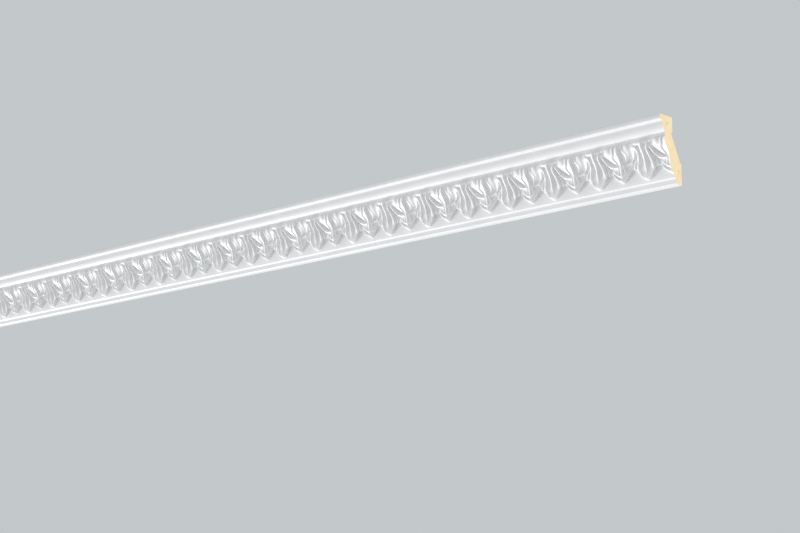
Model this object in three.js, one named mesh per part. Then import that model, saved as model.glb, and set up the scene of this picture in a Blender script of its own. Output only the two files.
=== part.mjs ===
// A length of cornice moulding for the corner of a wall and a ceiling: one casting with a plain fascia
// and ovolo above, a band of alternating large and small leaves, and a plain bead and fascia below.
// +X runs along the moulding, +Y points into the wall and +Z up. The origin is in the middle of the
// flat that is glued to the wall.
import * as THREE from 'three';

// Driving dimensions, in millimetres
const HEIGHT = 70;
const PROJECTION = 34.8;
const REPEAT = 62.5;
const HALF_REPEATS = 41;
const WALL_LAND = 22.2;
const CEILING_LAND = 20.8;
const CEILING_LAND_DEPTH = 15.2;
const GLUE_RELIEF = 2.3;
const TOP_FASCIA = 4.7;
const BEVEL_REACH = 4.1;
const BEVEL_DROP = 1.8;
const OVOLO_RADIUS = 10.4;
const OVOLO_SWEEP = THREE.MathUtils.degToRad(52);
const OVOLO_SIDES = 5;
const BOTTOM_LIP = 8.2;
const LIP_REACH = 1.2;
const LIP_RISE = 1.4;
const BOTTOM_FASCIA_TOP = 5.8;
const BOTTOM_FASCIA_LEAN = 0.5;

// The leaf band: a plane from its foot to the neck under the ovolo, with the relief standing on it
const BAND_FOOT = { y: -12.05, z: 7.25 };
const GROUND_AT_FOOT = 0.82;
const GROUND_AT_NECK = -2.1;
const BAND_TILT = THREE.MathUtils.degToRad(21.45);
const FOOT_UP = 6;
const NECK_UP = 53.5;

// The leaves: tips, the notch between them, and the wave of their crests
const SMALL_TIP_UP = 9.7;
const SMALL_EDGE_POWER = 1.4;
const LARGE_TIP_UP = 7.9;
const LARGE_EDGE_POWER = 2;
const LARGE_EDGE_REACH = 11;
const CREASE_UP = 18.6;
const NOTCH_UP = 20.9;
const EDGE_BEVEL = 2.2;
const LEAF_TOP_UP = 53.2;
const TOP_ROLL = 6;
const SWELL_MEAN = 2.35;
const SWELL = 1.45;
const SWELL_UP = 14.8;
const SWELL_PITCH = 31.4;

// Sizes that follow from these
const HALF = REPEAT / 2;
const QUARTER = REPEAT / 4;
const LENGTH = HALF * HALF_REPEATS;
const BAND_ALONG = { y: -Math.sin(BAND_TILT), z: Math.cos(BAND_TILT) };
const BAND_OUT = { y: -Math.cos(BAND_TILT), z: -Math.sin(BAND_TILT) };
const STROKE_STEPS = 24;
const STROKE_SOFTNESS = 0.05;
const STROKE_POWER = 1.5;

// A point of the large leaf is measured from its own axis, half a repeat from the small leaf's
function fromLargeAxis(points) {
  return points.map(([across, up, drop]) => [HALF - across, up, drop]);
}

// Crest and valley strokes of half a repeat: across from the small leaf's axis, up the band, and the
// drop below the wave of the crests
const STROKES = [
  // Large leaf: midrib, channel beside it, side rib, and the arch that closes the channels
  fromLargeAxis([[0, 48.6, 1.8], [0, 42, 0.5], [0, 30, 0.1], [0, 18, 0.9], [0, 11, -0.3]]),
  fromLargeAxis([[6.6, 46.2, 3.2], [3.6, 40, 2.7], [3.7, 32, 2.7], [4.8, 19, 2.4], [2.8, 12.4, 0.7]]),
  fromLargeAxis([
    [10.3, 44, 2.2], [6.5, 42.8, 0.7], [6.4, 36, 0.5], [8, 29.5, 0.5], [9.6, 25, 0.7], [10, 21.4, 1.3],
    [7.6, 15.4, 1.3], [4, 11.8, 0.4],
  ]),
  fromLargeAxis([[0, 48.8, 1.8], [3.6, 49, 2.1], [6.8, 48.2, 2.7]]),
  // Valley and fold between the two leaves
  [[15.6, 21, 3.2], [15.6, 23.5, 3.1], [16.4, 27, 3.4], [19, 31.3, 3.7], [22.9, 38.4, 3.6], [23.6, 41, 3.2]],
  [[17.6, 22, 2.1], [18.4, 25.4, 1.5], [20.6, 30, 1.9]],
  // Small leaf: midrib, its foot, groove round the blade, edge of the shoulder, shoulder and its foot
  [[0, 50.6, 3.2], [0, 46.7, 1.4], [0, 42, 0.1], [0, 33, 0.3], [0, 26, 0.4], [0, 21, 0.7]],
  [[2.3, 48.4, 3.4], [2.8, 44, 2.9], [2.8, 40, 2.8], [2.4, 30.5, 2.6]],
  [[0, 51, 3.9], [4.4, 47.4, 3.4], [4.4, 42.2, 3], [7.4, 38.8, 3], [5.2, 33.6, 3], [4.4, 30.5, 2.6]],
  [[5.8, 30.6, 1.9], [8.6, 37, 2.3], [9.2, 39, 2.2], [5.8, 44, 2], [5.8, 46.8, 2.2], [0, 51.8, 3.3]],
  [[11.2, 37.8, 3.1], [11.8, 43, 2.6], [10.8, 49.4, 2.9]],
  [[18.6, 45.4, 3.3], [18.2, 49.2, 3.5]],
  // Small leaf: hollow and rim of the curling lobe, fan above the lip, and the lip
  [[7.8, 30.2, 3.8], [11.4, 32, 4.6], [14.8, 35, 5], [16.8, 38.6, 4.4], [18.4, 42, 3.8]],
  [
    [3.4, 27.6, 0.9], [11, 28.9, 0.9], [14.4, 30.2, 1.2], [18.8, 34.8, 1.7], [20.8, 40.6, 2],
    [22.6, 42.4, 2.2],
  ],
  [[2, 24, 1.8], [6.4, 24, 2], [11.4, 26.8, 2.5]],
  [[0, 12.8, -0.4], [4.9, 14.7, 0.6], [9, 18, 1.3], [12.4, 21.8, 2.6]],
].map((points) => {
  const curve = new THREE.CatmullRomCurve3(points.map((p) => new THREE.Vector3(...p)), false, 'catmullrom');
  return curve.getPoints(STROKE_STEPS);
});

// The lattice that carries the relief: columns follow the strokes, at four heights of the band
const GUIDE_UP = [19, 29, 38, 48];
const GUIDES = [
  [0, 0, 0, 0],
  [3, 3.6, 6.8, 4.2],
  [6.2, 5.6, 9.2, 6.4],
  [10, 9, 14.4, 12],
  [13, 13.5, 19.1, 18],
  [15.6, 17, 22.4, 22.4],
  [21.6, 23.2, 24.9, 24.6],
  [26.2, 27.1, 27.6, 27.6],
  [HALF, HALF, HALF, HALF],
];
const WAIST_UP = 27.5;
const ROWS_BELOW_WAIST = 3;
const ROWS_ABOVE_WAIST = 7;

// Plain lines need few stations along the length
const PLAIN_STEP = 4;

function smoothStep(t) {
  return THREE.MathUtils.smoothstep(t, 0, 1);
}

// Straight-line reading of values at given positions
function readAt(positions, values, at) {
  const last = positions.length - 1;
  if (at <= positions[0]) return values[0];
  if (at >= positions[last]) return values[last];
  const next = positions.findIndex((position) => position > at);
  const part = (at - positions[next - 1]) / (positions[next] - positions[next - 1]);
  return THREE.MathUtils.lerp(values[next - 1], values[next], part);
}

// Where the bevelled edge of the leaves meets the ground
function edgeUp(across) {
  const { lerp } = THREE.MathUtils;
  if (across < QUARTER) return lerp(SMALL_TIP_UP, NOTCH_UP, (across / QUARTER) ** SMALL_EDGE_POWER);
  const fromAxis = HALF - across;
  if (fromAxis < LARGE_EDGE_REACH) {
    return lerp(LARGE_TIP_UP, CREASE_UP, (fromAxis / LARGE_EDGE_REACH) ** LARGE_EDGE_POWER);
  }
  return lerp(CREASE_UP, NOTCH_UP, (fromAxis - LARGE_EDGE_REACH) / (QUARTER - LARGE_EDGE_REACH));
}

// Squared distance to the nearest place of a stroke, and the drop there
function nearestOnStroke(stroke, across, up) {
  let best = { squared: Infinity, drop: 0 };
  for (let i = 1; i < stroke.length; i += 1) {
    const from = stroke[i - 1];
    const to = stroke[i];
    const dx = to.x - from.x;
    const dy = to.y - from.y;
    const along = ((across - from.x) * dx + (up - from.y) * dy) / (dx * dx + dy * dy);
    const part = THREE.MathUtils.clamp(along, 0, 1);
    const squared = (across - from.x - part * dx) ** 2 + (up - from.y - part * dy) ** 2;
    if (squared < best.squared) best = { squared, drop: THREE.MathUtils.lerp(from.z, to.z, part) };
  }
  return best;
}

// Height of the leaves: each stroke pulls the surface to its own depth, the nearer the stronger
function leafHeight(across, up) {
  let pull = 0;
  let weight = 0;
  for (const stroke of STROKES) {
    const { squared, drop } = nearestOnStroke(stroke, across, up);
    const share = (squared + STROKE_SOFTNESS) ** -STROKE_POWER;
    pull += share * drop;
    weight += share;
  }
  const crest = SWELL_MEAN + SWELL * Math.cos((2 * Math.PI * (up - SWELL_UP)) / SWELL_PITCH);
  return crest - pull / weight;
}

// Height of the relief above the band plane: ground, and the leaves that rise from it
function relief(across, up) {
  const ground = readAt([FOOT_UP, NECK_UP], [GROUND_AT_FOOT, GROUND_AT_NECK], up);
  const rise = smoothStep((up - edgeUp(across)) / EDGE_BEVEL) * smoothStep((LEAF_TOP_UP - up) / TOP_ROLL);
  return rise > 0 ? THREE.MathUtils.lerp(ground, leafHeight(across, up), rise) : ground;
}

// A place on the band, by its distance from the +X end and up the band
function bandPoint(run, up) {
  const across = Math.abs(THREE.MathUtils.euclideanModulo(run + HALF, REPEAT) - HALF);
  const out = relief(across, up) - GROUND_AT_FOOT;
  const along = up - FOOT_UP;
  const y = BAND_FOOT.y + along * BAND_ALONG.y + out * BAND_OUT.y;
  const z = BAND_FOOT.z + along * BAND_ALONG.z + out * BAND_OUT.z;
  return { run, up, y, z };
}

// Rows of the lattice at one column: foot, leaf edge, bevel, waist and up to the neck
function rowHeights(across) {
  const edge = edgeUp(across);
  const bevelTop = Math.min(edge + EDGE_BEVEL, WAIST_UP - 3);
  const rows = [FOOT_UP, edge];
  for (let i = 0; i < ROWS_BELOW_WAIST; i += 1) {
    rows.push(THREE.MathUtils.lerp(bevelTop, WAIST_UP, i / ROWS_BELOW_WAIST));
  }
  for (let i = 0; i <= ROWS_ABOVE_WAIST; i += 1) {
    rows.push(THREE.MathUtils.lerp(WAIST_UP, NECK_UP, i / ROWS_ABOVE_WAIST));
  }
  return rows;
}

// The band as lines that run the whole length, from the foot up
function bandLines() {
  const half = GUIDES.map((guide) => {
    const heights = rowHeights(guide[0]);
    return heights.map((up) => ({ across: readAt(GUIDE_UP, guide, up), up }));
  });
  const cells = GUIDES.length - 1;
  return half[0].map((_, row) => {
    const line = [];
    for (let station = 0; station <= HALF_REPEATS * cells; station += 1) {
      const unit = Math.floor(station / cells);
      const column = station % cells;
      const mirrored = unit % 2 === 1;
      const { across, up } = half[mirrored ? cells - column : column][row];
      line.push(bandPoint(unit * HALF + (mirrored ? HALF - across : across), up));
    }
    return line;
  });
}

// The plain section above and behind the band, from the neck round to the bottom fascia, measured from the
// corner where the moulding's foot meets the wall
function plainSection(neck) {
  const ovolo = [];
  for (let i = 1; i <= OVOLO_SIDES; i += 1) {
    const turn = OVOLO_SWEEP * (1 - i / OVOLO_SIDES);
    const back = OVOLO_RADIUS * (Math.cos(turn) - Math.cos(OVOLO_SWEEP));
    const rise = OVOLO_RADIUS * (Math.sin(OVOLO_SWEEP) - Math.sin(turn));
    ovolo.push([neck.y - back, neck.z + rise]);
  }
  const fasciaFoot = [-PROJECTION, HEIGHT - TOP_FASCIA];
  const bevelFoot = [fasciaFoot[0] + BEVEL_REACH, fasciaFoot[1] - BEVEL_DROP];
  const ceilingBack = -PROJECTION + CEILING_LAND;
  const reliefTop = HEIGHT - CEILING_LAND_DEPTH - GLUE_RELIEF;
  const lipTop = [-BOTTOM_LIP - LIP_REACH, LIP_RISE];
  return [
    ...ovolo,
    bevelFoot,
    fasciaFoot,
    [-PROJECTION, HEIGHT],
    [ceilingBack, HEIGHT],
    [ceilingBack, HEIGHT - CEILING_LAND_DEPTH],
    [ceilingBack - GLUE_RELIEF, reliefTop],
    [-GLUE_RELIEF, WALL_LAND + GLUE_RELIEF],
    [0, WALL_LAND],
    [0, 0],
    [-BOTTOM_LIP, 0],
    lipTop,
    [lipTop[0] - BOTTOM_FASCIA_LEAN, BOTTOM_FASCIA_TOP],
  ];
}

// A plain line of the section, with a station at every few leaves
function plainLine([y, z]) {
  const line = [];
  for (let unit = 0; unit < HALF_REPEATS; unit += PLAIN_STEP) line.push({ run: unit * HALF, y, z });
  line.push({ run: LENGTH, y, z });
  return line;
}

// Square mesh between two lattice lines, each cell parted along the diagonal that fits the relief best
function latticeStrip(lower, upper, faces) {
  for (let i = 1; i < lower.length; i += 1) {
    const [a, b, c, d] = [lower[i - 1], upper[i - 1], upper[i], lower[i]];
    const middle = bandPoint((a.run + b.run + c.run + d.run) / 4, (a.up + b.up + c.up + d.up) / 4);
    const missAC = Math.abs((a.y + c.y) / 2 - middle.y);
    const missBD = Math.abs((b.y + d.y) / 2 - middle.y);
    if (missAC < missBD) faces.push([a, b, c], [a, c, d]);
    else faces.push([a, b, d], [b, c, d]);
  }
}

// Strip between two lines whose stations differ: the one that lags behind steps on
function plainStrip(lower, upper, faces) {
  let i = 0;
  let j = 0;
  while (i < lower.length - 1 || j < upper.length - 1) {
    const stepLower = j === upper.length - 1
      || (i < lower.length - 1 && lower[i + 1].run <= upper[j + 1].run);
    if (stepLower) {
      faces.push([lower[i], upper[j], lower[i + 1]]);
      i += 1;
    } else {
      faces.push([lower[i], upper[j], upper[j + 1]]);
      j += 1;
    }
  }
}

// Square cut across all the lines at one end
function endCut(lines, pick, facesPlusX, faces) {
  const rim = lines.map(pick);
  const outline = rim.map((corner) => new THREE.Vector2(corner.y, corner.z));
  for (const [i, j, k] of THREE.ShapeUtils.triangulateShape(outline, [])) {
    faces.push(facesPlusX ? [rim[i], rim[j], rim[k]] : [rim[i], rim[k], rim[j]]);
  }
}

// The whole casting as one closed geometry, in the part's own frame
function corniceGeometry() {
  const band = bandLines();
  const neck = band[band.length - 1][0];
  const plain = plainSection(neck).map(plainLine);
  const faces = [];
  for (let i = 1; i < band.length; i += 1) latticeStrip(band[i - 1], band[i], faces);
  const round = [band[band.length - 1], ...plain, band[0]];
  for (let i = 1; i < round.length; i += 1) plainStrip(round[i - 1], round[i], faces);
  const lines = [...band, ...plain];
  endCut(lines, (line) => line[0], true, faces);
  endCut(lines, (line) => line[line.length - 1], false, faces);

  const positions = faces.flat().flatMap(({ run, y, z }) => [LENGTH / 2 - run, y, z - WALL_LAND / 2]);
  const geometry = new THREE.BufferGeometry();
  geometry.setAttribute('position', new THREE.Float32BufferAttribute(positions, 3));
  geometry.computeVertexNormals();
  return geometry;
}

const primer = new THREE.MeshStandardMaterial({ color: 0xf0f0ee, roughness: 0.45, metalness: 0 });
const cornice = new THREE.Mesh(corniceGeometry(), primer);
cornice.name = 'cornice_length';

const group = new THREE.Group();
group.add(cornice);

export default group;
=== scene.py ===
"""A cast cornice length: white primed face with a band of leaves, and bare foam at the saw cuts."""
import math

import bmesh
import bpy
from mathutils import Matrix, Vector


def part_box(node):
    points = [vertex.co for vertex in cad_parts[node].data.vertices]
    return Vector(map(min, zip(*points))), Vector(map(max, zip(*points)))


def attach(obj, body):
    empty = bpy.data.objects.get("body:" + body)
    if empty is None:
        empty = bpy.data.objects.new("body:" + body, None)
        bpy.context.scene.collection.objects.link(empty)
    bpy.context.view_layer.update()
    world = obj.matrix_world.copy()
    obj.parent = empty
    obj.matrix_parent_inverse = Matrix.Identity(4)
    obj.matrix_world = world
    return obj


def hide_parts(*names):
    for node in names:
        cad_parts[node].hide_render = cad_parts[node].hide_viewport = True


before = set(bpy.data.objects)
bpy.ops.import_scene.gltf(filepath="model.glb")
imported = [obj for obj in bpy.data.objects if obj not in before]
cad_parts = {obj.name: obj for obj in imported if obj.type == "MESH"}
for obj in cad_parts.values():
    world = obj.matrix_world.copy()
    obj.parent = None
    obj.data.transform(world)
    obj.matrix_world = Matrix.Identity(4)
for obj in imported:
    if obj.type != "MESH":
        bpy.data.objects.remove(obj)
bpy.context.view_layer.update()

bl_info = {
    "name": "Cornice moulding length",
    "version": (1, 0, 0),
    "blender": (4, 5, 0),
    "location": "3D View > Sidebar > Cornice",
    "description": "Models a cast cornice length with a leaf band, and a plain studio around it",
    "category": "Object",
}

NODE = "cornice_length"
BODY = "root"
LOW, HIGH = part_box(NODE)
MM = 0.001
WELD = 0.01 * MM

# Plain section, in millimetres
HEIGHT = (HIGH.z - LOW.z) / MM
PROJECTION = (HIGH.y - LOW.y) / MM
LENGTH = (HIGH.x - LOW.x) / MM
WALL_LAND = 22.2
CEILING_LAND = 20.8
CEILING_LAND_DEPTH = 15.2
GLUE_RELIEF = 2.3
TOP_FASCIA = 4.7
BEVEL_REACH = 4.1
BEVEL_DROP = 1.8
OVOLO_RADIUS = 10.4
OVOLO_SWEEP = math.radians(52.0)
BOTTOM_LIP = 8.2
LIP_REACH = 1.2
LIP_RISE = 1.4
BOTTOM_FASCIA_TOP = 5.8
BOTTOM_FASCIA_LEAN = 0.5
ARRIS_ANGLE = math.radians(15)
ARRIS_SEGMENTS = 2

# The leaf band: a plane from its foot to the neck under the ovolo, with the relief standing on it.
# A place in the section is its y, negative in front of the wall, and its height above the foot.
BAND_FOOT = Vector((-12.05, 7.25))
BAND_TILT = math.radians(21.45)
BAND_ALONG = Vector((-math.sin(BAND_TILT), math.cos(BAND_TILT)))
BAND_OUT = Vector((-math.cos(BAND_TILT), -math.sin(BAND_TILT)))
GROUND_AT_FOOT = 0.82
GROUND_AT_NECK = -2.1
FOOT_UP = 6.0
NECK_UP = 53.5

# The ground of the band: it dips behind the leaves, and rises again to a low strip under the ovolo
FILLET_UP = 46.0
FILLET_EASE = 6.0
FILLET_RISE = 0.8
FILLET_FALL = 2.0
DIP_UP = 8.0
DIP_EASE = 12.0
GROUND_DIP = 1.7

# The leaves: their repeat, tips, the notch between, their bevelled edge, and the wave of their crests
REPEAT = 62.5
REPEATS = math.ceil(LENGTH / REPEAT)
HALF = REPEAT / 2
SMALL_TIP_UP = 9.7
SMALL_EDGE_POWER = 1.4
SMALL_EDGE_REACH = 13.6
LARGE_TIP_UP = 7.9
LARGE_EDGE_POWER = 2.0
LARGE_EDGE_REACH = 11.0
CREASE_UP = 18.6
NOTCH_UP = 20.9
EDGE_BEVEL = 1.8
LEAF_TOP_UP = 51.2
TOP_ROLL = 2.2
SWELL_MEAN = 2.35
SWELL = 1.45
SWELL_UP = 14.8
SWELL_PITCH = 31.4

# The strokes that carve the leaves: their pieces between two points, and how their pull falls off
STROKE_STEPS = 6
STROKE_SOFTNESS = 0.04
STROKE_REACH = 7.0
STROKE_POWER = 1.3
STROKE_LEAST = 0.0001

# Voids that the saw opened in the foam: their place in the section, and radius
FOAM_VOIDS = (
    (-22.6, 62.0, 2.0),
    (-5.4, 14.6, 2.0),
    (-27.5, 65.8, 0.4),
    (-17.2, 58.0, 0.45),
    (-19.8, 47.6, 0.4),
    (-14.6, 36.2, 0.5),
    (-11.2, 27.4, 0.4),
    (-8.6, 19.8, 0.45),
    (-4.2, 5.4, 0.4),
)
VOID_SIDES = 10
VOID_DEPTH = 0.25
VOID_WALL = 0.7
# Attribute that marks the void floors, where shade is painted into the foam colour
PAINTED_VOID_SHADE = "opened_void"

# Places in the list of materials after the primer, which a new face has, then how far a face of the
# unprimed skin turns to the wall or the ceiling, and the angle from which a plain corner is crisp
FOAM = 1
BACK = 2
BACK_FACING = 0.3
TOP_FACING = 0.9
SHARP_ANGLE = math.radians(28)


class CorniceSizes(bpy.types.PropertyGroup):
    """Sizes of the moulding that can be changed without redrawing its section."""

    leaf_depth: bpy.props.FloatProperty(
        name="Leaf depth",
        description="Depth of the leaf relief, as a share of the cast one",
        default=1.0,
        min=0.2,
        max=1.2,
        subtype="FACTOR",
    )
    arris: bpy.props.FloatProperty(
        name="Arris",
        description="Rounding of the plain edges",
        default=0.4 * MM,
        min=0.05 * MM,
        max=1.0 * MM,
        precision=5,
        unit="LENGTH",
    )
    ovolo_sides: bpy.props.IntProperty(
        name="Ovolo sides",
        description="Flats that make up the round of the ovolo",
        default=14,
        min=4,
        max=40,
    )
    columns: bpy.props.IntProperty(
        name="Columns",
        description="Mesh columns in half a leaf repeat",
        default=44,
        min=8,
        max=46,
    )
    leaf_rows: bpy.props.IntProperty(
        name="Leaf rows",
        description="Mesh rows from the leaf edge to the neck",
        default=45,
        min=8,
        max=46,
    )
    ground_rows: bpy.props.IntProperty(
        name="Ground rows",
        description="Mesh rows from the foot of the band to the leaf edge",
        default=5,
        min=1,
        max=8,
    )


class CorniceColours(bpy.types.PropertyGroup):
    """Colours of the finishes and of the studio."""

    primer: bpy.props.FloatVectorProperty(
        name="Primer",
        description="White primer of the face",
        default=(0.893, 0.88, 0.873),
        min=0.0,
        max=1.0,
        subtype="COLOR",
    )
    foam: bpy.props.FloatVectorProperty(
        name="Foam",
        description="Bare foam at the saw cuts",
        default=(0.88, 0.71, 0.43),
        min=0.0,
        max=1.0,
        subtype="COLOR",
    )
    back: bpy.props.FloatVectorProperty(
        name="Back",
        description="Moulded skin of the unprimed back",
        default=(0.80, 0.66, 0.43),
        min=0.0,
        max=1.0,
        subtype="COLOR",
    )
    floor: bpy.props.FloatVectorProperty(
        name="Floor",
        description="Pale studio floor",
        default=(0.62, 0.63, 0.64),
        min=0.0,
        max=1.0,
        subtype="COLOR",
    )
    room: bpy.props.FloatVectorProperty(
        name="Room",
        description="Even grey light from all around",
        default=(0.545, 0.575, 0.595),
        min=0.0,
        max=1.0,
        subtype="COLOR",
    )


class CorniceStudio(bpy.types.PropertyGroup):
    """Lights and floor of the studio."""

    key: bpy.props.FloatProperty(
        name="Key",
        description="Strength of the raking light from the left",
        default=2.6,
        min=0.0,
        max=10.0,
    )
    under: bpy.props.FloatProperty(
        name="Under",
        description="Strength of the soft light from below",
        default=1.05,
        min=0.0,
        max=10.0,
    )
    front_fill: bpy.props.FloatProperty(
        name="Front fill",
        description="Strength of the faint light from the front, opposite the key",
        default=0.36,
        min=0.0,
        max=10.0,
    )
    end_fill: bpy.props.FloatProperty(
        name="End fill",
        description="Strength of the soft light on the right-hand cut",
        default=2.1,
        min=0.0,
        max=10.0,
    )
    floor_drop: bpy.props.FloatProperty(
        name="Floor drop",
        description="Height of the moulding above the floor",
        default=2.4,
        min=0.8,
        max=6.0,
        unit="LENGTH",
    )


# Relief of the leaves

def smooth_step(part):
    """Eased rise from 0 to 1."""
    part = min(max(part, 0.0), 1.0)
    return part * part * (3.0 - 2.0 * part)


def mix(start, end, part):
    """Value part of the way from start to end."""
    return start + (end - start) * part


def from_large_axis(*points):
    """Points of the large leaf, given from its own axis, counted from the small leaf's axis."""
    return [(HALF - across, up, drop) for across, up, drop in points]


def smooth_line(points):
    """Short straight pieces of a smooth line through the points."""
    points = [Vector(point) for point in points]
    first = 2 * points[0] - points[1]
    last = 2 * points[-1] - points[-2]
    points = [first, *points, last]
    line = [points[1]]
    for before, start, end, after in zip(points, points[1:], points[2:], points[3:]):
        slope = (end - before) / 2
        bend = before - 2.5 * start + 2 * end - after / 2
        twist = (3 * (start - end) + after - before) / 2
        for step in range(1, STROKE_STEPS + 1):
            part = step / STROKE_STEPS
            line.append(start + part * (slope + part * (bend + part * twist)))
    return list(zip(line, line[1:]))


# Crest and valley strokes of half a repeat: across from the small leaf's axis, up the band, and the
# drop below the wave of the crests
LARGE_LEAF = {
    "midrib": from_large_axis(
        (0, 48.6, 2), (0, 45.5, 1.2), (0, 42, 0.6), (0, 36, 0.4), (0, 30, 0.1), (0, 26, 0.2),
        (0, 22, 0.6), (0, 18, 1.5), (0, 14, 0.7), (0, 10.6, -0.7),
    ),
    "foot of the midrib": from_large_axis(
        (3.2, 46, 2.8), (3.1, 38, 2.5), (3.1, 30, 2.4), (2.8, 24, 2.4), (2.1, 19, 2.2),
        (1.7, 15, 1.2), (1.2, 12, 0),
    ),
    "channel": from_large_axis(
        (9.5, 47, 4), (6.6, 46.2, 3.4), (4.2, 44.4, 3), (3.6, 40, 2.7), (3.7, 32, 2.7),
        (4.3, 26, 2.5), (4.8, 19, 2.4), (4.4, 14.6, 1.1), (2.6, 12, 0.1),
    ),
    "side rib": from_large_axis(
        (10.3, 44, 2.3), (8.2, 44.6, 1.4), (6.6, 42.8, 0.7), (6.1, 40, 0.5), (6.6, 34, 0.5),
        (8, 29.5, 0.5), (9.6, 25, 0.7), (10, 21.4, 1.4), (9.2, 18.6, 2.1), (7.6, 15.4, 1.1),
        (4.6, 12, 0.1), (0, 9.8, -0.6),
    ),
    "arch over the channels": from_large_axis((0, 48.8, 1.9), (3.6, 49, 2.2), (6.8, 48.2, 2.8)),
}
BETWEEN_LEAVES = {
    "valley": [
        (14.8, 21, 3.3), (14.6, 23.5, 3.2), (15.4, 27, 3.4), (18.6, 31.3, 3.8), (21.6, 35, 3.9),
        (22.9, 38.4, 3.7), (23.6, 41, 3.2),
    ],
    "side fold": [(16.4, 22, 2.1), (17.2, 25.4, 1.4), (19.6, 30, 1.9)],
    "groove of the fold": [(18.4, 21.8, 3), (19.2, 25.6, 2.7), (21.2, 30.4, 2.5)],
}
SMALL_LEAF = {
    "midrib": [
        (0, 50.6, 3.2), (0, 48.5, 2.2), (0, 46.7, 1.4), (0, 44.6, 0.7), (0, 42, 0.1), (0, 38, 0.2),
        (0, 33, 0.3), (0, 29.5, 0.5), (0, 26, 0.3), (0, 21, 0.6),
    ],
    "flank of the midrib": [
        (1.7, 48.4, 3), (2.4, 44, 2.1), (3.2, 40.6, 2.6), (3.4, 38.4, 2.8), (3, 35, 2.5),
        (2.3, 31, 2),
    ],
    "groove round the blade": [
        (0, 51, 4), (2.6, 50, 4), (4.5, 47.4, 3.8), (4.7, 43.8, 3.5), (4.9, 42.2, 3.4),
        (6, 40.5, 3.3), (7.6, 38.8, 3.2), (6.9, 36.6, 3.3), (5.6, 33.6, 3.3), (4.4, 30.8, 3),
    ],
    "edge of the shoulder": [
        (5.6, 31, 2), (6.9, 34, 2.2), (8.3, 37, 2.3), (8.9, 38.9, 2.2), (7.2, 41.5, 2),
        (6, 43.8, 2), (5.9, 46.8, 2.2), (4.8, 49.8, 2.8), (2.4, 51.2, 3.2), (0, 51.8, 3.4),
    ],
    "shoulder": [(11.2, 37.8, 3.2), (11.8, 43, 2.6), (11.4, 46.6, 2.5), (10.8, 49.4, 2.9)],
    "foot of the shoulder": [(18.6, 45.4, 3.4), (18.2, 49.2, 3.6)],
    "pocket by the bud": [(8.2, 47, 3.2), (7.8, 49.6, 3.6)],
    "hollow of the lobe": [
        (7.8, 30.2, 3.8), (11.4, 32, 4.7), (14.8, 35, 5.1), (16.8, 38.6, 4.5), (18.4, 42, 3.8),
    ],
    "rim of the lobe": [
        (3.4, 27.6, 0.8), (7.5, 28.1, 0.9), (11, 28.9, 0.8), (14.4, 30.2, 1.2), (17, 32.2, 1.5),
        (18.8, 34.8, 1.7), (19.8, 37.6, 1.9), (20.8, 40.6, 2), (22.6, 42.4, 2.2),
    ],
    "inner lip": [(0, 18.3, 0.5), (5.4, 19.9, 1), (11.6, 24.7, 2.6)],
    "groove of the lips": [(0, 16, 1), (6, 17.9, 2.5), (12.6, 23.4, 3.1)],
    "outer lip": [(0, 12.8, -0.4), (4.9, 14.7, 0.5), (9, 18, 1.3), (12.4, 21.8, 2.8)],
    "first gap": [(2.2, 24, 1.5), (2.6, 20.8, 2.1)],
    "first reed": [(3.6, 26.4, 0.6), (4.6, 21.8, 1.2)],
    "second gap": [(5.5, 25.4, 2.6), (6.8, 22.8, 2.8)],
    "second reed": [(7.2, 26.4, 2), (9, 24.4, 2.5)],
    "last gap": [(8.8, 26.6, 2.7), (11.6, 27.2, 3)],
}
STROKES = [
    smooth_line(points)
    for group in (LARGE_LEAF, BETWEEN_LEAVES, SMALL_LEAF)
    for points in group.values()
]


def nearest_on_stroke(stroke, across, up):
    """Squared distance to the nearest place of a stroke, and the drop there."""
    nearest = math.inf
    drop = 0.0
    for start, end in stroke:
        run_x = end.x - start.x
        run_y = end.y - start.y
        way = (across - start.x) * run_x + (up - start.y) * run_y
        along = min(max(way / (run_x * run_x + run_y * run_y), 0.0), 1.0)
        squared = (across - start.x - along * run_x) ** 2 + (up - start.y - along * run_y) ** 2
        if squared < nearest:
            nearest = squared
            drop = mix(start.z, end.z, along)
    return nearest, drop


def leaf_height(across, up):
    """Height of the leaves: each stroke pulls the surface to its depth, the nearer the stronger."""
    pull = 0.0
    weight = 0.0
    for stroke in STROKES:
        squared, drop = nearest_on_stroke(stroke, across, up)
        nearness = 1.0 / math.sqrt(squared + STROKE_SOFTNESS) - 1.0 / STROKE_REACH
        share = max(nearness, STROKE_LEAST) ** STROKE_POWER
        pull += share * drop
        weight += share
    crest = SWELL_MEAN + SWELL * math.cos(2 * math.pi * (up - SWELL_UP) / SWELL_PITCH)
    return crest - pull / weight


def edge_up(across):
    """Where the bevelled edge of the leaves meets the ground."""
    if across < SMALL_EDGE_REACH:
        return mix(SMALL_TIP_UP, NOTCH_UP, (across / SMALL_EDGE_REACH) ** SMALL_EDGE_POWER)
    from_axis = HALF - across
    if from_axis < LARGE_EDGE_REACH:
        return mix(LARGE_TIP_UP, CREASE_UP, (from_axis / LARGE_EDGE_REACH) ** LARGE_EDGE_POWER)
    crease = HALF - LARGE_EDGE_REACH
    return mix(NOTCH_UP, CREASE_UP, (across - SMALL_EDGE_REACH) / (crease - SMALL_EDGE_REACH))


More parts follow.
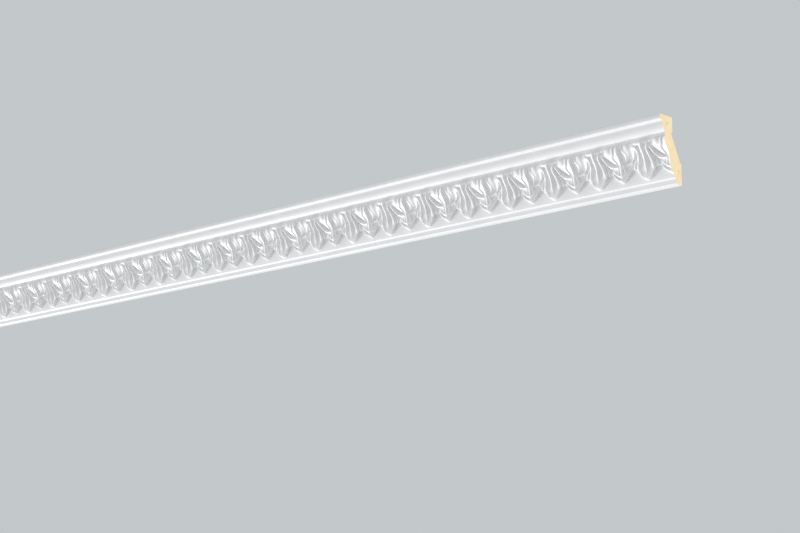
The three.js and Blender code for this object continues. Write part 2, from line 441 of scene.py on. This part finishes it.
def relief(across, up, depth):
    """Height of the relief above the band plane: ground, and the leaves that rise from it."""
    ground = mix(GROUND_AT_FOOT, GROUND_AT_NECK, (up - FOOT_UP) / (NECK_UP - FOOT_UP))
    dip = smooth_step((up - DIP_UP) / DIP_EASE) * smooth_step((FILLET_UP - up) / DIP_EASE)
    fillet = smooth_step((up - FILLET_UP) / FILLET_EASE) * smooth_step((NECK_UP - up) / FILLET_FALL)
    ground += FILLET_RISE * fillet - GROUND_DIP * dip
    rise = smooth_step((up - edge_up(across)) / EDGE_BEVEL)
    rise *= smooth_step((LEAF_TOP_UP - up) / TOP_ROLL)
    if rise == 0.0:
        return ground
    return mix(ground, leaf_height(across, up), rise * depth)


def on_band(up, height):
    """Place in the section of a point of the band, by its way up the band and its relief."""
    return BAND_FOOT + (up - FOOT_UP) * BAND_ALONG + (height - GROUND_AT_FOOT) * BAND_OUT


def in_section(x, place):
    """Place in the part's frame, from metres along it and millimetres in its section."""
    return Vector((x, place[0] * MM, LOW.z + place[1] * MM))


# Mesh of the casting

def leaf_repeat(sizes):
    """One repeat of the band, between the axes of two small leaves, with the large leaf at x = 0."""
    bm = bmesh.new()
    rows = sizes.ground_rows + sizes.leaf_rows
    grid = bmesh.ops.create_grid(bm, x_segments=sizes.columns, y_segments=rows, size=0.5)
    for vert in grid["verts"]:
        across = HALF * (0.5 - vert.co.x)
        row = round((vert.co.y + 0.5) * rows)
        edge = edge_up(across)
        if row <= sizes.ground_rows:
            up = mix(FOOT_UP, edge, row / sizes.ground_rows)
        else:
            up = mix(edge, NECK_UP, (row - sizes.ground_rows) / sizes.leaf_rows)
        height = relief(across, up, sizes.leaf_depth)
        vert.co = in_section((HALF - across) * MM, on_band(up, height))
    everything = [*bm.verts, *bm.edges, *bm.faces]
    bmesh.ops.mirror(bm, geom=everything, matrix=Matrix(), merge_dist=WELD, axis="X")
    return bm


def leaf_band(sizes):
    """The whole band: repeats set side by side from the +X end and sawn off at the other."""
    bm = leaf_repeat(sizes)
    bmesh.ops.translate(bm, verts=bm.verts, vec=(HIGH.x - HALF * MM, 0, 0))
    first = [*bm.verts, *bm.edges, *bm.faces]
    for index in range(1, REPEATS):
        copy = bmesh.ops.duplicate(bm, geom=first)["geom"]
        verts = [item for item in copy if isinstance(item, bmesh.types.BMVert)]
        bmesh.ops.translate(bm, verts=verts, vec=(-REPEAT * MM * index, 0, 0))
    bmesh.ops.remove_doubles(bm, verts=bm.verts, dist=WELD)
    everything = [*bm.verts, *bm.edges, *bm.faces]
    bmesh.ops.bisect_plane(
        bm,
        geom=everything,
        dist=WELD,
        plane_co=(LOW.x, 0, 0),
        plane_no=(-1, 0, 0),
        clear_outer=True,
    )
    return bm


def draw_to(bm, vert, place):
    """Draws the section on from a vertex to a place in it."""
    drawn = bmesh.ops.extrude_vert_indiv(bm, verts=[vert])["verts"][0]
    drawn.co = in_section(HIGH.x, place)
    return drawn


def draw_section(bm, sizes):
    """Draws the plain section at the +X end, from the neck over the top and back down to the band."""
    neck = on_band(NECK_UP, GROUND_AT_NECK)
    centre = neck + OVOLO_RADIUS * Vector((math.cos(OVOLO_SWEEP), math.sin(OVOLO_SWEEP)))
    start = bm.verts.new(in_section(HIGH.x, neck))
    ovolo = bmesh.ops.spin(
        bm,
        geom=[start],
        cent=in_section(HIGH.x, centre),
        axis=(1, 0, 0),
        angle=-OVOLO_SWEEP,
        steps=sizes.ovolo_sides,
    )
    vert = ovolo["geom_last"][0]
    fascia_foot = Vector((-PROJECTION, HEIGHT - TOP_FASCIA))
    ceiling_back = -PROJECTION + CEILING_LAND
    relief_top = HEIGHT - CEILING_LAND_DEPTH - GLUE_RELIEF
    lip_top = Vector((-BOTTOM_LIP - LIP_REACH, LIP_RISE))
    corners = (
        fascia_foot + Vector((BEVEL_REACH, -BEVEL_DROP)),
        fascia_foot,
        (-PROJECTION, HEIGHT),
        (ceiling_back, HEIGHT),
        (ceiling_back, HEIGHT - CEILING_LAND_DEPTH),
        (ceiling_back - GLUE_RELIEF, relief_top),
        (-GLUE_RELIEF, WALL_LAND + GLUE_RELIEF),
        (0, WALL_LAND),
        (0, 0),
        (-BOTTOM_LIP, 0),
        lip_top,
        (lip_top.x - BOTTOM_FASCIA_LEAN, BOTTOM_FASCIA_TOP),
        BAND_FOOT,
    )
    for corner in corners:
        vert = draw_to(bm, vert, corner)


def plain_faces(sizes):
    """The plain faces: the section drawn out over the length, with eased arrises."""
    bm = bmesh.new()
    draw_section(bm, sizes)
    drawn = bmesh.ops.extrude_edge_only(bm, edges=bm.edges)["geom"]
    verts = [item for item in drawn if isinstance(item, bmesh.types.BMVert)]
    bmesh.ops.translate(bm, verts=verts, vec=(LOW.x - HIGH.x, 0, 0))
    inner = [edge for edge in bm.edges if not edge.is_boundary]
    arrises = [edge for edge in inner if edge.calc_face_angle() > ARRIS_ANGLE]
    bmesh.ops.bevel(
        bm,
        geom=arrises,
        offset=sizes.arris,
        offset_type="OFFSET",
        segments=ARRIS_SEGMENTS,
        profile=0.5,
        affect="EDGES",
        clamp_overlap=True,
        material=-1,
    )
    for index in range(1, REPEATS):
        everything = [*bm.verts, *bm.edges, *bm.faces]
        seam = (HIGH.x - REPEAT * MM * index, 0, 0)
        bmesh.ops.bisect_plane(bm, geom=everything, dist=WELD, plane_co=seam, plane_no=(1, 0, 0))
    match_columns(bm, HALF * MM / sizes.columns)
    return bm


def match_columns(bm, spacing):
    """Divides the open edges along the band at the spacing of its columns."""
    rims = [edge for edge in bm.edges if edge.is_boundary and edge.calc_length() > 2 * spacing]
    rims = [edge for edge in rims if abs(edge.verts[0].co.x - edge.verts[1].co.x) > spacing]
    cuts = {edge: round(edge.calc_length() / spacing) - 1 for edge in rims}
    for count in sorted(set(cuts.values())):
        alike = [edge for edge in rims if cuts[edge] == count]
        bmesh.ops.subdivide_edges(bm, edges=alike, cuts=count)


def saw_cut(bm, x, outward):
    """Closes one end with the flat of the saw cut, and sinks the opened voids into it."""
    open_edges = [edge for edge in bm.edges if edge.is_boundary]
    rim = [edge for edge in open_edges if all(abs(vert.co.x - x) < WELD for vert in edge.verts)]
    facing = Matrix.Rotation(math.radians(90) * outward, 4, "Y")
    void_shade = bm.verts.layers.float[PAINTED_VOID_SHADE]
    floors = []
    for y, z, radius in FOAM_VOIDS:
        place = Matrix.Translation(in_section(x, (y, z))) @ facing
        disc = bmesh.ops.create_circle(
            bm,
            cap_ends=True,
            radius=radius * MM,
            segments=VOID_SIDES,
            matrix=place,
        )
        face = disc["verts"][0].link_faces[0]
        rim.extend(face.edges)
        floors.append((face, radius))
    cut = bmesh.ops.triangle_fill(bm, use_beauty=True, edges=rim, normal=(outward, 0, 0))["geom"]
    faces = [item for item in cut if isinstance(item, bmesh.types.BMFace)]
    for face, radius in floors:
        slope = radius * VOID_WALL * MM
        walls = bmesh.ops.inset_individual(bm, faces=[face], thickness=slope)["faces"]
        sink = Vector((-outward * radius * VOID_DEPTH * MM, 0, 0))
        bmesh.ops.translate(bm, verts=face.verts, vec=sink)
        # The sunken floors are marked for a darker foam colour: painted shade in the voids
        for vert in face.verts:
            vert[void_shade] = 1.0
        faces.extend([*walls, face])
    for face in faces:
        face.material_index = FOAM


def mark_skin(bm):
    """Keeps the saw cuts flat, and gives the back and the top their place among the materials."""
    for face in bm.faces:
        if face.material_index == FOAM:
            face.smooth = False
        elif face.normal.y > BACK_FACING or face.normal.z > TOP_FACING:
            face.material_index = BACK


def mark_corners(bm, leaves):
    """Keeps the corners of the plain faces crisp, and the leaves smooth."""
    for edge in bm.edges:
        kinds = {face[leaves] for face in edge.link_faces}
        sharp = edge.calc_face_angle(0.0) > SHARP_ANGLE
        edge.smooth = not (sharp and kinds != {1})


def cast_mesh(sizes):
    """The whole casting as one closed mesh."""
    bm = leaf_band(sizes)
    plain = plain_faces(sizes)
    carrier = bpy.data.meshes.new("plain_faces")
    plain.to_mesh(carrier)
    plain.free()
    leaves = bm.faces.layers.int.new("leaf_band")
    for face in bm.faces:
        face[leaves] = 1
    bm.from_mesh(carrier)
    bpy.data.meshes.remove(carrier)
    bmesh.ops.remove_doubles(bm, verts=bm.verts, dist=WELD)
    for face in bm.faces:
        face.smooth = True
    # Layer that marks where shade is painted in the voids
    bm.verts.layers.float.new(PAINTED_VOID_SHADE)
    saw_cut(bm, HIGH.x, 1)
    saw_cut(bm, LOW.x, -1)
    bmesh.ops.recalc_face_normals(bm, faces=bm.faces)
    mark_skin(bm)
    mark_corners(bm, leaves)
    bm.faces.layers.int.remove(leaves)
    if any(not edge.is_manifold for edge in bm.edges):
        raise RuntimeError("the casting isn't closed")
    mesh = bpy.data.meshes.new("cornice_moulding")
    bm.to_mesh(mesh)
    bm.free()
    return mesh


# Finishes: sizes of the clouds and of the grain, shades as shares of a colour, the roughness from one
# end of the noise to the other, and the strength and depth of the unevenness
GRAIN_DETAIL = {"Clouds": 3.0, "Grain": 1.0}
WIDE_SPREAD = (0.3, 0.7)
CLOSE_SPREAD = (0.35, 0.65)
WHOLE = (0.0, 1.0)

PRIMER_GRAIN = (0.03, 0.0009)
PRIMER_SHADES = (0.975, 1.015)
PRIMER_ROUGHNESS = (0.5, 0.4)
PRIMER_PEEL = (0.08, 0.1 * MM)

FOAM_GRAIN = (0.007, 0.0012)
FOAM_WARM = (1.0, 0.94, 0.92)
FOAM_PALE = (0.99, 1.05, 1.12)
# Darker foam colour painted on the void floors, as their shade
FOAM_VOID_SHADE = (0.85, 0.75, 0.66)
CELL_SIZE = 0.5 * MM
CELL_SPREAD = (0.1, 0.7)
CELL_SHADING = (0.0, 0.22)
CELL_SHADE = 0.72
CELL_PITS = (0.35, 0.2 * MM)

SKIN_GRAIN = (0.018, 0.0022)
SKIN_SHADES = (0.88, 1.06)
SKIN_ROUGHNESS = (0.5, 0.68)
SKIN_BLISTERS = (0.25, 0.3 * MM)

FLOOR_GRAIN = (0.8, 0.02)
FLOOR_SHADES = (0.98, 1.02)
FLOOR_ROUGHNESS = (0.75, 0.85)


def rgba(colour, share=1.0):
    """Colour with alpha, lighter or darker by a share."""
    return (*(min(channel * share, 1.0) for channel in colour), 1.0)


def tinted(colour, shares):
    """Colour with alpha, each channel changed by a share of its own."""
    return rgba([channel * share for channel, share in zip(colour, shares)])


def add(tree, kind, **sockets):
    """A node with values set on its named inputs."""
    node = tree.nodes.new(kind)
    for name, value in sockets.items():
        node.inputs[name.replace("_", " ")].default_value = value
    return node


def surface_grain():
    """Group that gives soft clouds and a fine grain of given sizes, from places on the piece."""
    name = "surface grain"
    if name in bpy.data.node_groups:
        return bpy.data.node_groups[name]
    tree = bpy.data.node_groups.new(name, "ShaderNodeTree")
    for label in GRAIN_DETAIL:
        tree.interface.new_socket(f"{label} Size", in_out="INPUT", socket_type="NodeSocketFloat")
        tree.interface.new_socket(label, in_out="OUTPUT", socket_type="NodeSocketFloat")
    given = tree.nodes.new("NodeGroupInput")
    result = tree.nodes.new("NodeGroupOutput")
    place = tree.nodes.new("ShaderNodeTexCoord")
    for label, detail in GRAIN_DETAIL.items():
        scale = tree.nodes.new("ShaderNodeMath")
        scale.operation = "DIVIDE"
        scale.inputs[0].default_value = 1.0
        noise = add(tree, "ShaderNodeTexNoise", Detail=detail, Roughness=0.5)
        tree.links.new(given.outputs[f"{label} Size"], scale.inputs[1])
        tree.links.new(scale.outputs[0], noise.inputs["Scale"])
        tree.links.new(place.outputs["Object"], noise.inputs["Vector"])
        tree.links.new(noise.outputs["Fac"], result.inputs[label])
    return tree


def grain_node(tree, sizes):
    """The surface grain in a material, with its sizes in metres."""
    node = tree.nodes.new("ShaderNodeGroup")
    node.node_tree = surface_grain()
    for label, size in zip(GRAIN_DETAIL, sizes):
        node.inputs[f"{label} Size"].default_value = size
    return node


def new_material(name, **shader_values):
    """A material, its node tree, and its shader with values set on the named inputs."""
    material = bpy.data.materials.new(name)
    material.use_nodes = True
    tree = material.node_tree
    shader = tree.nodes["Principled BSDF"]
    for socket, value in shader_values.items():
        shader.inputs[socket.replace("_", " ")].default_value = value
    return material, tree, shader


def ramp(tree, source, spread, ends):
    """The source over its spread, read on a scale from one end to the other."""
    low, high = spread
    first, last = ends
    node = add(tree, "ShaderNodeMapRange", From_Min=low, From_Max=high, To_Min=first, To_Max=last)
    tree.links.new(source, node.inputs["Value"])
    return node.outputs["Result"]


def blend(tree, factor, first, second):
    """Colour between two colours, each one plain or from a node."""
    node = tree.nodes.new("ShaderNodeMix")
    node.data_type = "RGBA"
    tree.links.new(factor, node.inputs["Factor"])
    for socket, colour in zip(("A", "B"), (first, second)):
        target = next(item for item in node.inputs if item.name == socket and item.type == "RGBA")
        if isinstance(colour, tuple):
            target.default_value = colour
        else:
            tree.links.new(colour, target)
    return next(item for item in node.outputs if item.type == "RGBA")


def shaded(tree, shader, source, spread, colour, shades):
    """Gives the shader a colour that drifts with the source between two shades."""
    dark, light = shades
    share = ramp(tree, source, spread, WHOLE)
    drifting = blend(tree, share, rgba(colour, dark), rgba(colour, light))
    tree.links.new(drifting, shader.inputs["Base Color"])


def roughened(tree, shader, source, ends):
    """Gives the shader a roughness that drifts with the source."""
    roughness = ramp(tree, source, WIDE_SPREAD, ends)
    tree.links.new(roughness, shader.inputs["Roughness"])


def bumped(tree, shader, source, unevenness):
    """Gives the shader the fine unevenness of the source."""
    strength, depth = unevenness
    node = add(tree, "ShaderNodeBump", Strength=strength, Distance=depth)
    tree.links.new(source, node.inputs["Height"])
    tree.links.new(node.outputs["Normal"], shader.inputs["Normal"])


def primer_finish(colours):
    """Satin white primer, sprayed in the mould: faint clouds and a very fine orange peel."""
    material, tree, shader = new_material("primer_white", Specular_IOR_Level=0.4)
    grain = grain_node(tree, PRIMER_GRAIN)
    shaded(tree, shader, grain.outputs["Clouds"], CLOSE_SPREAD, colours.primer, PRIMER_SHADES)
    roughened(tree, shader, grain.outputs["Clouds"], PRIMER_ROUGHNESS)
    bumped(tree, shader, grain.outputs["Grain"], PRIMER_PEEL)
    return material


def foam_finish(colours):
    """Sawn foam: fine open cells, with warmer and paler patches, and painted shade in the opened
    voids.
    """
    material, tree, shader = new_material("foam_sawn", Roughness=0.9, Specular_IOR_Level=0.2)
    grain = grain_node(tree, FOAM_GRAIN)
    patches = ramp(tree, grain.outputs["Clouds"], CLOSE_SPREAD, WHOLE)
    warm = tinted(colours.foam, FOAM_WARM)
    pale = tinted(colours.foam, FOAM_PALE)
    patched = blend(tree, patches, warm, pale)
    place = tree.nodes.new("ShaderNodeTexCoord")
    cells = add(tree, "ShaderNodeTexVoronoi", Scale=1.0 / CELL_SIZE)
    tree.links.new(place.outputs["Object"], cells.inputs["Vector"])
    walls = ramp(tree, cells.outputs["Distance"], CELL_SPREAD, CELL_SHADING)
    celled = blend(tree, walls, patched, rgba(colours.foam, CELL_SHADE))
    # Painted shade: the marked void floors take the darker foam colour
    void_shade = tree.nodes.new("ShaderNodeAttribute")
    void_shade.attribute_name = PAINTED_VOID_SHADE
    colour = blend(tree, void_shade.outputs["Fac"], celled, tinted(colours.foam, FOAM_VOID_SHADE))
    tree.links.new(colour, shader.inputs["Base Color"])
    bumped(tree, shader, cells.outputs["Distance"], CELL_PITS)
    return material


def back_finish(colours):
    """Moulded foam skin of the back: smoother than the cut, with flow clouds and small blisters."""
    material, tree, shader = new_material("foam_skin", Specular_IOR_Level=0.35)
    grain = grain_node(tree, SKIN_GRAIN)
    shaded(tree, shader, grain.outputs["Clouds"], WIDE_SPREAD, colours.back, SKIN_SHADES)
    roughened(tree, shader, grain.outputs["Clouds"], SKIN_ROUGHNESS)
    bumped(tree, shader, grain.outputs["Grain"], SKIN_BLISTERS)
    return material


def floor_finish(colours):
    """Pale matt studio floor."""
    material, tree, shader = new_material("floor_pale", Specular_IOR_Level=0.2)
    grain = grain_node(tree, FLOOR_GRAIN)
    shaded(tree, shader, grain.outputs["Clouds"], WIDE_SPREAD, colours.floor, FLOOR_SHADES)
    roughened(tree, shader, grain.outputs["Grain"], FLOOR_ROUGHNESS)
    return material


class CORNICE_OT_cast_length(bpy.types.Operator):
    """Models the cast length with its leaf band and gives it its three finishes"""

    bl_idname = "cornice.cast_length"
    bl_label = "Cast length"

    def execute(self, context):
        scene = context.scene
        piece = bpy.data.objects.new("cornice_moulding", cast_mesh(scene.cornice_sizes))
        scene.collection.objects.link(piece)
        for finish in (primer_finish, foam_finish, back_finish):
            piece.data.materials.append(finish(scene.cornice_colours))
        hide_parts(NODE)
        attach(piece, BODY)
        return {"FINISHED"}


# Studio

KEY_FROM = Vector((-0.885, -0.13, -0.445))
KEY_ANGLE = math.radians(12)
UNDER_FROM = Vector((-0.70, -0.22, -0.68))
UNDER_ANGLE = math.radians(40)
FRONT_FILL_FROM = Vector((0.55, -0.80, -0.25))
FRONT_FILL_ANGLE = math.radians(70)
END_FILL_FROM = Vector((0.93, 0.30, -0.20))
END_FILL_ANGLE = math.radians(40)
FLOOR_SIZE = 40.0
CAMERA_FROM_END = Vector((1.0033, -1.4478, -0.4410))
CAMERA_HEADING = math.radians(44.2)
CAMERA_TILT = math.radians(11.59)
CAMERA_LENS = 78.34
CAMERA_SENSOR = 36.0


def sun(scene, name, source, strength, angle):
    """Soft even light from one side."""
    lamp = bpy.data.lights.new(name, "SUN")
    lamp.energy = strength
    lamp.angle = angle
    light = bpy.data.objects.new(name, lamp)
    light.rotation_euler = source.to_track_quat("Z", "Y").to_euler()
    scene.collection.objects.link(light)


def studio_floor(scene, drop):
    """Plain pale floor under the moulding, which lets the light from below through."""
    bm = bmesh.new()
    bmesh.ops.create_grid(bm, x_segments=1, y_segments=1, size=FLOOR_SIZE / 2)
    bmesh.ops.translate(bm, verts=bm.verts, vec=(0, 0, LOW.z - drop))
    mesh = bpy.data.meshes.new("studio_floor")
    bm.to_mesh(mesh)
    bm.free()
    floor = bpy.data.objects.new("studio_floor", mesh)
    floor.visible_shadow = False
    mesh.materials.append(floor_finish(scene.cornice_colours))
    scene.collection.objects.link(floor)


def studio_room(scene):
    """Even grey light from all around."""
    world = bpy.data.worlds.new("studio_room")
    world.use_nodes = True
    background = world.node_tree.nodes["Background"]
    background.inputs["Color"].default_value = rgba(scene.cornice_colours.room)
    scene.world = world


def studio_camera(scene):
    """Camera below and to the right of the +X end, looking back along the moulding."""
    lens = bpy.data.cameras.new("camera")
    lens.lens = CAMERA_LENS
    lens.sensor_width = CAMERA_SENSOR
    lens.dof.use_dof = False
    camera = bpy.data.objects.new("camera", lens)
    camera.location = Vector((HIGH.x, HIGH.y, LOW.z)) + CAMERA_FROM_END
    level = math.cos(CAMERA_TILT)
    forward = Vector((
        -level * math.sin(CAMERA_HEADING),
        level * math.cos(CAMERA_HEADING),
        math.sin(CAMERA_TILT),
    ))
    camera.rotation_euler = forward.to_track_quat("-Z", "Y").to_euler()
    scene.collection.objects.link(camera)
    scene.camera = camera


class CORNICE_OT_set_stage(bpy.types.Operator):
    """Sets up the floor, the even room light, four soft lights and the camera"""

    bl_idname = "cornice.set_stage"
    bl_label = "Set stage"

    def execute(self, context):
        scene = context.scene
        studio = scene.cornice_studio
        studio_floor(scene, studio.floor_drop)
        studio_room(scene)
        sun(scene, "key_light", KEY_FROM, studio.key, KEY_ANGLE)
        sun(scene, "under_light", UNDER_FROM, studio.under, UNDER_ANGLE)
        sun(scene, "front_fill_light", FRONT_FILL_FROM, studio.front_fill, FRONT_FILL_ANGLE)
        sun(scene, "end_fill_light", END_FILL_FROM, studio.end_fill, END_FILL_ANGLE)
        studio_camera(scene)
        scene.view_settings.view_transform = "Standard"
        return {"FINISHED"}


class CORNICE_PT_sidebar(bpy.types.Panel):
    """Sizes, colours and studio of the cornice, and the two steps that make it"""

    bl_idname = "CORNICE_PT_sidebar"
    bl_label = "Cornice moulding"
    bl_space_type = "VIEW_3D"
    bl_region_type = "UI"
    bl_category = "Cornice"

    def draw(self, context):
        scene = context.scene
        for group in (scene.cornice_sizes, scene.cornice_colours, scene.cornice_studio):
            box = self.layout.box()
            for name in type(group).__annotations__:
                box.prop(group, name)
        self.layout.operator(CORNICE_OT_cast_length.bl_idname)
        self.layout.operator(CORNICE_OT_set_stage.bl_idname)


CLASSES = (
    CorniceSizes,
    CorniceColours,
    CorniceStudio,
    CORNICE_OT_cast_length,
    CORNICE_OT_set_stage,
    CORNICE_PT_sidebar,
)


def register():
    """Makes the settings, the steps and the panel known."""
    for item in CLASSES:
        bpy.utils.register_class(item)
    bpy.types.Scene.cornice_sizes = bpy.props.PointerProperty(type=CorniceSizes)
    bpy.types.Scene.cornice_colours = bpy.props.PointerProperty(type=CorniceColours)
    bpy.types.Scene.cornice_studio = bpy.props.PointerProperty(type=CorniceStudio)


def unregister():
    """Takes them away again."""
    del bpy.types.Scene.cornice_studio
    del bpy.types.Scene.cornice_colours
    del bpy.types.Scene.cornice_sizes
    for item in reversed(CLASSES):
        bpy.utils.unregister_class(item)


def main():
    """Makes the moulding and its studio."""
    register()
    bpy.ops.cornice.cast_length()
    bpy.ops.cornice.set_stage()


if __name__ == "__main__":
    main()
